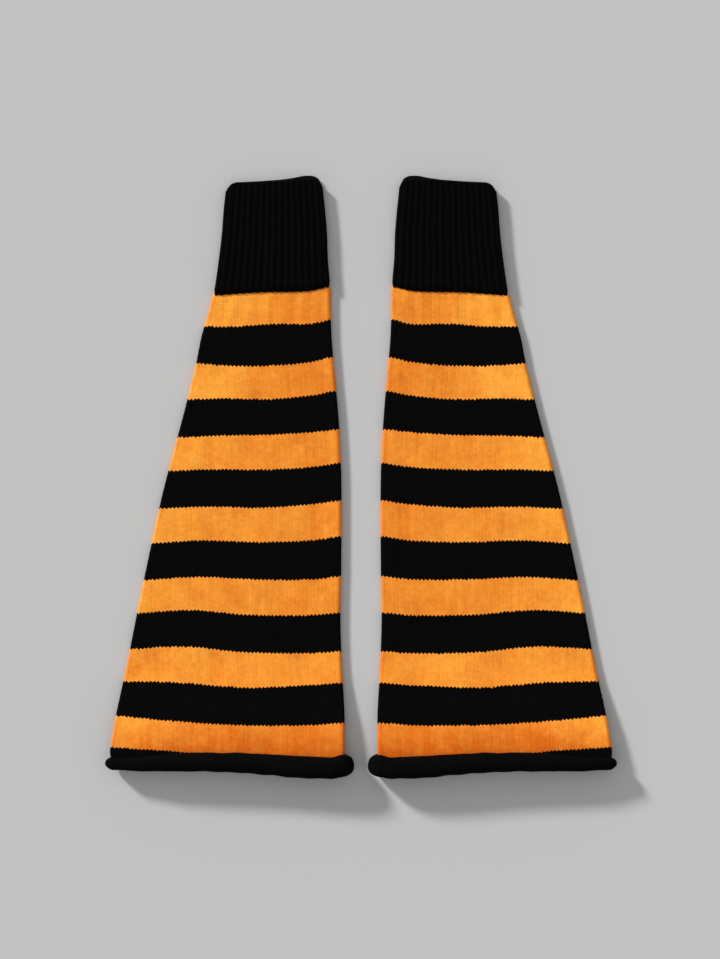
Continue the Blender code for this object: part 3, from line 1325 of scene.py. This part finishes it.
def without_loose(knit: Knit, corners: Array) -> tuple[Knit, Array]:
    """Leaves out the points that no face uses.

    Args:
        knit: the points.
        corners: the corners of the faces.

    Returns:
        The points that are left, and the corners in their numbers.
    """
    used, numbers = np.unique(corners, return_inverse=True)
    kept = Knit(*(getattr(knit, name)[used] for name in KNIT_PARTS))
    return kept, numbers.reshape(corners.shape)


class RibPoint(NamedTuple):
    """One mesh column of a rib: its place, its rise as a share, and its stitch's V there.

    Attributes:
        place: how far across the rib it is.
        rise: its share of the rib's rise.
        vee: its share of the V's depth.
    """

    place: float
    rise: float
    vee: float


RIB_PROFILE = (
    RibPoint(0.0, 0.0, 1.0),
    RibPoint(0.13, 0.12, 1.0),
    RibPoint(0.24, 0.80, 0.72),
    RibPoint(0.37, 1.0, 0.36),
    RibPoint(0.50, 0.78, 0.0),
    RibPoint(0.63, 1.0, 0.36),
    RibPoint(0.76, 0.80, 0.72),
    RibPoint(0.87, 0.12, 1.0),
)
CUFF_SPAN = (362, 447)  # about where the rib that shows starts and ends, in millimetres
EVEN = 0.5  # the depth of shade of a knit that has none
RIM_STEPS = 6  # mesh rows over the turned rim
LINING_STEPS = 10  # mesh rows down the plain inside


@dataclass
class Cuff:
    """The rib cuff, turned over at its top.

    Attributes:
        side: which garment it belongs to.
        wall: the thickness of its double cloth.
        ribs: how many ribs each layer has.
        rib_rise: how far a rib stands out of the gap beside it.
        courses: how many courses it has.
        vee: how far a stitch's V reaches down, in courses.
        stitch_rise: how far a stitch stands out of the one below it.
        rows: mesh rows a course.
        corner: the radius of its top corners.
        rim_radius: the radius of the turned edge round its mouth.
        rim_dip: how far the front rim lies below the back rim at the inner side.
        rim_dip_end: where the two rims meet, across.
        tuck: how far the seam pulls the cuff in.
        tuck_length: how far up from the seam that shows.
        fold_tuck: the share of it at the folds.
        row_dip: how light painted shade leaves the gap between courses, beside a stitch's crown.
        rib_dip: how light painted shade leaves the gap between ribs, beside a rib's crown.
        inside_crest: how light painted shade leaves the plain inside, beside that.
        form: the form of the tube.
    """

    side: Side
    wall: float = 2.8 * MM
    ribs: int = 17
    rib_rise: float = 0.6 * MM
    courses: int = 40
    vee: float = 0.5
    stitch_rise: float = 0.22 * MM
    rows: int = 3
    corner: float = 8 * MM
    rim_radius: float = 1.3 * MM
    rim_dip: float = 2.4 * MM
    rim_dip_end: float = 0.6
    tuck: float = 1.6 * MM
    tuck_length: float = 5 * MM
    fold_tuck: float = 0.3
    row_dip: float = 0.4
    rib_dip: float = 0.15
    inside_crest: float = 0.8
    form: TubeForm = TubeForm(outline=CUFF_OUTLINE, flat=6.2 * MM)

    def top(self, reach: Array, height: Array, face: Face) -> Array:
        """The height of the rim, with its rounded corners and the dip of the front layer.

        Args:
            reach: how far along the cloth a place of it is.
            height: about how high it is there.
            face: the layer.

        Returns:
            The height.
        """
        across = self.form.across_at(reach, height)
        top = read(SEAMS, "across", "top", across) * MM
        from_side = np.minimum(self.form.from_side(reach, height), self.corner)
        rounded = self.corner - np.sqrt(self.corner**2 - (self.corner - from_side) ** 2)
        frontness = (1 + face.value * self.form.facing(reach, height)) / 2
        return top - rounded - self.rim_dip * (1 - ease(across / self.rim_dip_end)) * frontness

    def half(self, face: Face, course: Array) -> Knit:
        """The ribbed outside of one layer.

        Args:
            face: the layer.
            course: the course of each mesh row.

        Returns:
            Its points, row by row, from the inner fold to the outer one.
        """
        ribs, places = np.arange(self.ribs), len(RIB_PROFILE)
        share = (ribs[:, None] + [point.place for point in RIB_PROFILE]).ravel() / self.ribs
        profile = np.tile([point.rise for point in RIB_PROFILE], self.ribs)
        vee = np.tile([point.vee for point in RIB_PROFILE], self.ribs) * self.vee
        number = np.arange(self.ribs * places + 1)
        ends = ((share, 1), (profile, 0), (vee, 0))
        share, profile, vee = (np.append(a, a[0] + end) for a, end in ends)
        shifted = np.clip((course[:, None] + vee[None, :]) / self.courses, 0, 1)
        phase = course % 1
        stitch = np.where(phase < ROW_GAP, -1.0, np.where(phase < 0.5, 0.5, 1.0)) * self.stitch_rise
        height, reach, across, facing = self.spread(face, share[None, :], shifted, self.rim_radius)
        sunk = (1 - face.value * facing) / 2
        above = (height - joint_height(across)) / self.tuck_length
        tuck = self.tuck * mix(self.fold_tuck, 1, facing) * (1 - ease(above))
        raised = self.rib_rise * (profile[None, :] - sunk) - tuck
        raised = raised + stitch[:, None] * profile[None, :] / 2
        points = self.form.place(reach, height, face, raised)
        valley = np.where(number % places == places // 2, number, -1)
        gap = np.where(phase < ROW_GAP, np.arange(len(course)), -1)
        crest = np.where(phase < ROW_GAP, self.row_dip, 1.0)[:, None]
        crest = crest * mix(self.rib_dip, 1, profile[None, :])
        wale = share * self.ribs * face.value
        return Knit.lattice(points, wale, course, crest, across, EVEN, valley, gap)

    def spread(
        self, face: Face, share: Array, row: Array, below_rim: float
    ) -> tuple[Array, Array, Array, Array]:
        """Spreads points over one layer.

        Args:
            face: the layer.
            share: how far they are from the inner fold to the outer one, along the cloth.
            row: how far up they are, from 0 at the seam to 1 near the rim.
            below_rim: how far below the rim the row at 1 is.

        Returns:
            Their heights, their reach, how far across they are and how squarely they face up or
            down.
        """
        height = mix(*CUFF_SPAN, row) * MM
        for _ in range(3):  # a point's height and its reach settle together
            reach = share * self.form.half_length(height)
            across = self.form.across_at(reach, height)
            facing = self.form.facing(reach, height)
            rim = self.top(reach, height, face) - below_rim
            height = mix(joint_height(across), rim, row)
        return height, reach, across, facing

    def lined(self, face: Face, count: int) -> list[Array]:
        """The turned rim and the plain inside of one layer.

        Args:
            face: the layer.
            count: mesh columns from the inner fold to the outer one.

        Returns:
            The places of the points of each row, from the rim down.
        """
        share = np.arange(count)[None, :] / (count - 1)
        rows = []
        for step in range(1, RIM_STEPS + 1):
            turned = math.pi * step / RIM_STEPS
            height, reach, _, facing = self.spread(face, share, np.ones((1, 1)), self.rim_radius)
            height = height + self.rim_radius * math.sin(turned)
            inset = self.wall / 2 * (1 - math.cos(turned))
            ribs_left = self.rib_rise * (1 + math.cos(turned)) / 2
            raised = ribs_left * (0.5 - (1 - face.value * facing) / 2) - inset
            rows.append(self.form.place(reach, height, face, raised)[0])
        for step in range(1, LINING_STEPS + 1):
            row = np.full((1, 1), 1 - step / LINING_STEPS)
            height, reach, _, _ = self.spread(face, share, row, self.rim_radius)
            rows.append(self.form.place(reach, height, face, np.full((1, 1), -self.wall))[0])
        return rows

    def build(self, rib: Material) -> bpy.types.Object:
        """Makes the cuff.

        Args:
            rib: the finish of its yarn.

        Returns:
            The piece.
        """
        course = np.arange(self.courses * self.rows + 1) / self.rows
        front, back = self.half(Face.FRONT, course), self.half(Face.BACK, course)
        count = self.ribs * len(RIB_PROFILE) + 1
        inside = [
            np.concatenate([above, below])
            for above, below in zip(self.lined(Face.FRONT, count), self.lined(Face.BACK, count))
        ]
        plain = Knit.lattice(
            points=np.stack(inside),
            wale=0.0,
            course=np.zeros(len(inside)),
            crest=self.inside_crest,
            across=0.5,
            painted_shade=EVEN,
        )
        knit = Knit.joined([front, back, plain])
        front_index = np.arange(len(front.points)).reshape(len(course), count)
        back_index = len(front.points) + front_index
        index = np.concatenate([front_index, back_index[:, -2:0:-1]], axis=1)
        start = 2 * len(front.points)
        rows = start + np.arange(len(inside) * 2 * count).reshape(len(inside), 2 * count)
        rows = np.concatenate([rows[:, :count], rows[:, -2:count:-1]], axis=1)
        index = np.concatenate([index, rows, index[:1]])
        index = np.concatenate([index, index[:, :1]], axis=1)
        corners, triangle, row = between(index)
        knit, corners = without_loose(knit, corners)
        cloth = ("knit_cuff", "cuff", "rib_knit")
        return make_piece(*cloth, knit, corners, triangle, 0 * row, (rib,), self.side)

    def cut(self) -> tuple[tuple[float, float], float]:
        """The width and length and the area of the rib that shows, flat and all round."""
        return self.form.cut(np.linspace(*CUFF_SPAN, 50) * MM)


@dataclass
class HemRoll:
    """The raw end of the jersey, which curls outward into a roll with its purl side out.

    Attributes:
        side: which garment it belongs to.
        wall: the thickness of the cloth.
        flat: the depth of the leg's two layers.
        hem_lift: how far the leg's underside is above the floor at the hem.
        turns: how many turns the curl makes.
        turn_gap: the gap between one turn and the next.
        core: the smallest radius of the hollow that the curl leaves.
        wale: the width of a stitch.
        courses: how many courses the outside of the curl has.
        rows: mesh rows a course.
        lining_rows: mesh rows of the inside of the curl.
        columns: mesh columns a wale.
        arc_columns: mesh columns round each fold.
        relief: how far a purl bump stands out.
        scallop: how far a purl bump arches, in courses.
        inner_taper: how much flatter the roll gets where it turns round the inner fold, as a share.
        outer_taper: how much flatter it gets round the outer one.
        uneven: how far its edges wander, as the curl is tighter or looser.
        uneven_waves: how many waves of that there are across.
        saddle: how much lower a purl bump is between its two ends.
        row_dip: how light painted shade leaves the gap between courses, beside a bump's crown.
        inside_crest: how light painted shade leaves the inside of the curl, beside that.
        seed: where its chance values start.
    """

    side: Side
    wall: float = 1.8 * MM
    flat: float = 4.1 * MM
    hem_lift: float = 6.4 * MM
    turns: float = 1.1
    turn_gap: float = 0.4 * MM
    core: float = 0.15 * MM
    wale: float = 2.9 * MM
    courses: int = 17
    rows: int = 3
    lining_rows: int = 22
    columns: int = 4
    arc_columns: int = 32
    relief: float = 0.3 * MM
    scallop: float = 0.3
    inner_taper: float = 0.2
    outer_taper: float = 0.36
    uneven: float = 0.45 * MM
    uneven_waves: float = 9
    saddle: float = 0.5
    row_dip: float = 0.3
    inside_crest: float = 0.7
    seed: int = 7

    def stations(self) -> tuple[Array, Array]:
        """The places round the hem, starting on the front at the inner fold.

        Returns:
            How far across each is, and the angle that the cloth faces there: 90 degrees on the
            front, 0 at the outer edge, 270 on the back and 180 at the inner fold.
        """
        width = (LEG_OUTLINE[1].outer - LEG_OUTLINE[1].inner) * MM
        count = int(width / self.wale * self.columns)
        flat, arc = np.arange(count + 1) / count, np.arange(1, self.arc_columns) / self.arc_columns
        across = [flat, np.ones(len(arc)), flat[::-1], np.zeros(len(arc))]
        front, back = np.full(count + 1, 90.0), np.full(count + 1, 270.0)
        angle = [front, 90 - 180 * arc, back, 270 - 180 * arc]
        return np.concatenate(across), np.concatenate(angle)

    def section(
        self, below: Array, above: Array, depth: Array, share: Array
    ) -> tuple[Array, Array, Array]:
        """The middle line of the curl's section.

        Args:
            below: from the centre line to the lower edge, for each station.
            above: from the centre line to the upper edge.
            depth: how far the roll stands out of the leg.
            share: how far along the curl each point is, from 0 at the leg to 1.

        Returns:
            The offsets up the garment and out of its layer, the unit direction out of the curl in
            the same two axes, and the thickness of the cloth.
        """
        above_core = self.turns - 0.25
        room = depth / 2 - self.core - above_core * (self.wall / 2 + self.turn_gap)
        wall = np.minimum(self.wall, room / (1 + above_core / 2))
        pitch = (self.wall + wall) / 2 + self.turn_gap
        out = (depth - wall + pitch / 2) / 2
        turned = self.turns * share
        angle = 2 * math.pi * turned
        down = below - wall / 2 - pitch * (turned - 0.25)
        up = above - wall / 2 - pitch * (turned - 0.75)
        a = np.where(np.sin(angle) > 0, down, up)
        b = out - pitch * turned
        middle = np.stack([-a * np.sin(angle), out - b * np.cos(angle)], axis=-1)
        away = np.stack([-b * np.sin(angle), -a * np.cos(angle)], axis=-1)
        away = away / np.linalg.norm(away, axis=-1, keepdims=True)
        return middle, away, wall

    def build(self, black: Material) -> bpy.types.Object:
        """Makes the roll.

        Args:
            black: the finish of its yarn.

        Returns:
            The piece.
        """
        across, angle = self.stations()
        out_x, out_z = np.cos(np.radians(angle)), np.sin(np.radians(angle))
        below, above, front, back = (
            read(CURLS, "across", column, across) * MM
            for column in ("below", "above", "front", "back")
        )
        depth = mix(back, front, (1 + out_z) / 2)
        taper = np.where(out_x > 0, self.outer_taper, self.inner_taper) * out_x**2
        chance = np.random.RandomState(self.seed)
        turn = (1 - out_z) / 2
        below, above = (
            extent * (1 - taper) + self.uneven * wander(chance, across * self.uneven_waves, turn)
            for extent in (below, above)
        )
        height = hem_centre(across)
        inner, outer = LegForm().edges(height)
        start_x = mix(inner + self.flat / 2, outer - self.flat / 2, across)
        half_gap = (self.flat - self.wall) / 2
        wale = np.arange(len(across)) / self.columns
        course = np.arange(self.courses * self.rows + 1) / self.rows
        arched = self.scallop * np.cos(2 * math.pi * wale)
        share = np.clip((course[:, None] + arched[None, :]) / self.courses, 0, 1)
        phase = course % 1
        bump = 1 - self.saddle / 2 * (1 - np.cos(2 * math.pi * wale))
        bump = np.where(phase < ROW_GAP, 0.0, 1.0)[:, None] * bump
        lining = np.linspace(1, 0, self.lining_rows)[:, None] * np.ones(len(across))
        layers = []
        outside, inside = self.relief * (bump - 0.5), 0 * lining
        for along, sign, raised in ((share, 1, outside), (lining, -1, inside)):
            middle, away, wall = self.section(below, above, depth, along)
            section = middle + away * (sign * wall / 2 + raised)[..., None]
            x = start_x + out_x * (half_gap + section[..., 1])
            z = self.hem_lift + self.flat / 2 + out_z * (half_gap + section[..., 1])
            y = height + section[..., 0]
            layers.append(np.stack([x, y, np.maximum(z, 0)], axis=-1))
        rows = np.concatenate(layers)
        lined = self.lining_rows
        gap = np.where(phase < ROW_GAP, np.arange(len(course)), -1)
        gap = np.concatenate([gap, np.full(lined, -1)])
        numbers = np.concatenate([course, np.linspace(self.courses, 0, lined)])
        outside_crest = mix(self.row_dip, 1, bump)
        crest = np.concatenate([outside_crest, np.full(lining.shape, self.inside_crest)])
        knit = Knit.lattice(rows, wale, numbers, crest, across, EVEN, gap=gap)
        index = np.arange(crest.size).reshape(crest.shape)
        index = np.concatenate([index, index[:1]])
        index = np.concatenate([index, index[:, :1]], axis=1)
        corners, triangle, row = between(index)
        cloth = ("knit_roll", "hem_roll", "black_jersey")
        corners = turned_over(corners, triangle)
        return make_piece(*cloth, knit, corners, triangle, 0 * row, (black,), self.side)


@dataclass
class Garment:
    """One leg warmer: its cuff, its leg and its hem roll.

    Attributes:
        side: which of the two it is.
    """

    side: Side

    def build(self, finishes: dict[str, Material]) -> None:
        """Makes the garment's pieces, logs them and works out the flat sizes of its leg and cuff.

        Args:
            finishes: the materials, by name.
        """
        leg, cuff, roll = Leg(self.side), Cuff(self.side), HemRoll(self.side)
        made_leg = leg.build(finishes["orange"], finishes["black"])
        made_cuff = cuff.build(finishes["rib"])
        made_roll = roll.build(finishes["black"])
        for piece in (made_leg, made_cuff, made_roll):
            report(piece)
        flat, area = leg.cut()
        flat, area = cuff.cut()


def report(piece: bpy.types.Object) -> None:
    """Logs a piece with the number of its triangles.

    Args:
        piece: the piece.
    """
    sizes = np.zeros(len(piece.data.polygons), np.int32)
    piece.data.polygons.foreach_get("loop_total", sizes)
    LOG.info("%s: %d triangles", piece.name, int((sizes - 2).sum()))


@dataclass
class Studio:
    """The floor, the lights and the camera.

    Attributes:
        floor_size: the width of the floor.
        floor_tone: its linear grey.
        floor_drop: how far it lies below the object.
        frame_height: what the picture takes in from top to bottom.
        frame_centre: the place on the floor that the camera looks at.
        focus_height: the height above the floor where the frame has that size.
        lens: the focal length in millimetres.
        sensor: the height of the sensor in millimetres.
        key_strength: the strength of the key light.
        key_angle: how wide the key light is, in degrees.
        key_elevation: how high the key light stands, in degrees.
        key_bearing: where it stands, in degrees from +X towards +Y.
        fill_strength: the strength of the light from all round.
    """

    floor_size: float = 80.0
    floor_tone: float = 0.395
    floor_drop: float = 0.2 * MM
    frame_height: float = 715.4 * MM
    frame_centre: tuple[float, float] = (-0.75 * MM, -2.4 * MM)
    focus_height: float = 6 * MM
    lens: float = 100.0
    sensor: float = 36.0
    key_strength: float = 5.4
    key_angle: float = 7.0
    key_elevation: float = 21.0
    key_bearing: float = 137.0
    fill_strength: float = 0.73

    def build_floor(self) -> bpy.types.Object:
        """Makes the pale floor.

        Returns:
            The floor, which isn't part of the object.
        """
        half = self.floor_size / 2
        mesh = bpy.data.meshes.new("floor")
        places = [(-half, -half, 0), (half, -half, 0), (half, half, 0), (-half, half, 0)]
        mesh.from_pydata(places, [], [(0, 1, 2, 3)])
        floor = bpy.data.objects.new("floor", mesh)
        floor.location.z = -self.floor_drop
        bpy.context.scene.collection.objects.link(floor)
        pale = bpy.data.materials.new("pale_floor")
        pale.use_nodes = True
        shader = pale.node_tree.nodes["Principled BSDF"]
        shader.inputs["Base Color"].default_value = (*(self.floor_tone,) * 3, 1)
        shader.inputs["Roughness"].default_value = 0.9
        shader.inputs["Specular IOR Level"].default_value = 0.1
        mesh.materials.append(pale)
        return floor

    def build_lights(self) -> None:
        """Makes the soft key light and the even light from all round."""
        light = bpy.data.lights.new("key", "SUN")
        light.energy = self.key_strength
        light.angle = math.radians(self.key_angle)
        key = bpy.data.objects.new("key", light)
        bearing, elevation = math.radians(self.key_bearing), math.radians(self.key_elevation)
        flat = math.cos(elevation)
        towards = Vector((flat * math.cos(bearing), flat * math.sin(bearing), math.sin(elevation)))
        key.location = towards * 2
        key.rotation_euler = towards.to_track_quat("Z", "Y").to_euler()
        bpy.context.scene.collection.objects.link(key)
        world = bpy.data.worlds.new("even_light")
        world.use_nodes = True
        background = world.node_tree.nodes["Background"]
        background.inputs["Color"].default_value = (1, 1, 1, 1)
        background.inputs["Strength"].default_value = self.fill_strength
        bpy.context.scene.world = world

    def build_camera(self) -> None:
        """Makes the camera, which looks straight down."""
        camera = bpy.data.objects.new("camera", bpy.data.cameras.new("camera"))
        camera.data.lens = self.lens
        camera.data.sensor_width = self.sensor
        distance = self.frame_height * self.lens / self.sensor
        camera.location = (*self.frame_centre, self.focus_height + distance)
        bpy.context.scene.collection.objects.link(camera)
        bpy.context.scene.camera = camera
        bpy.context.scene.view_settings.view_transform = "Standard"


def finishes() -> dict[str, Material]:
    """Makes the materials of the yarns.

    Returns:
        The materials, by name.
    """
    orange = YarnFinish(
        name="orange_jersey",
        inner=(0.73, 0.228, 0.022),
        outer=(0.815, 0.306, 0.033),
        # painted light on ridges and painted shade in troughs, beside the roll and the cuff and at
        # the folds
        ridge=(1.04, 1.16, 1.3),
        trough=(0.71, 0.40, 0.25),
        crevice_shade_level=0.9,
        unevenness=0.12,
        mottle=0.62,
        streak=0.12,
        sheen=0.06,
        sheen_tint=(1.0, 0.66, 0.36),
        specular=0.03,
        fuzz=0.25 * MM,
    )
    black = YarnFinish(
        name="black_jersey",
        inner=(0.0017, 0.0017, 0.0018),
        outer=(0.0017, 0.0017, 0.0018),
        ridge=(1, 1, 1),
        trough=(1, 1, 1),
        crevice_shade_level=0.7,
        unevenness=0.3,
        mottle=0.2,
        streak=0.2,
        sheen=0.003,
        sheen_tint=(0.6, 0.6, 0.65),
        specular=0.02,
        fuzz=0.25 * MM,
    )
    deep_black = (0.0013, 0.0013, 0.0014)
    rib = replace(black, name="black_rib", inner=deep_black, outer=deep_black, crevice_shade_level=0.85)
    return {"orange": orange.material(), "black": black.material(), "rib": rib.material()}


def main() -> None:
    """Builds the scene: the studio, then the two garments."""
    logging.basicConfig(level=logging.INFO, format="%(message)s")
    studio = Studio()
    studio.build_camera()
    studio.build_lights()
    studio.build_floor()
    made = finishes()
    for side in Side:
        Garment(side).build(made)


if __name__ == "__main__":
    main()
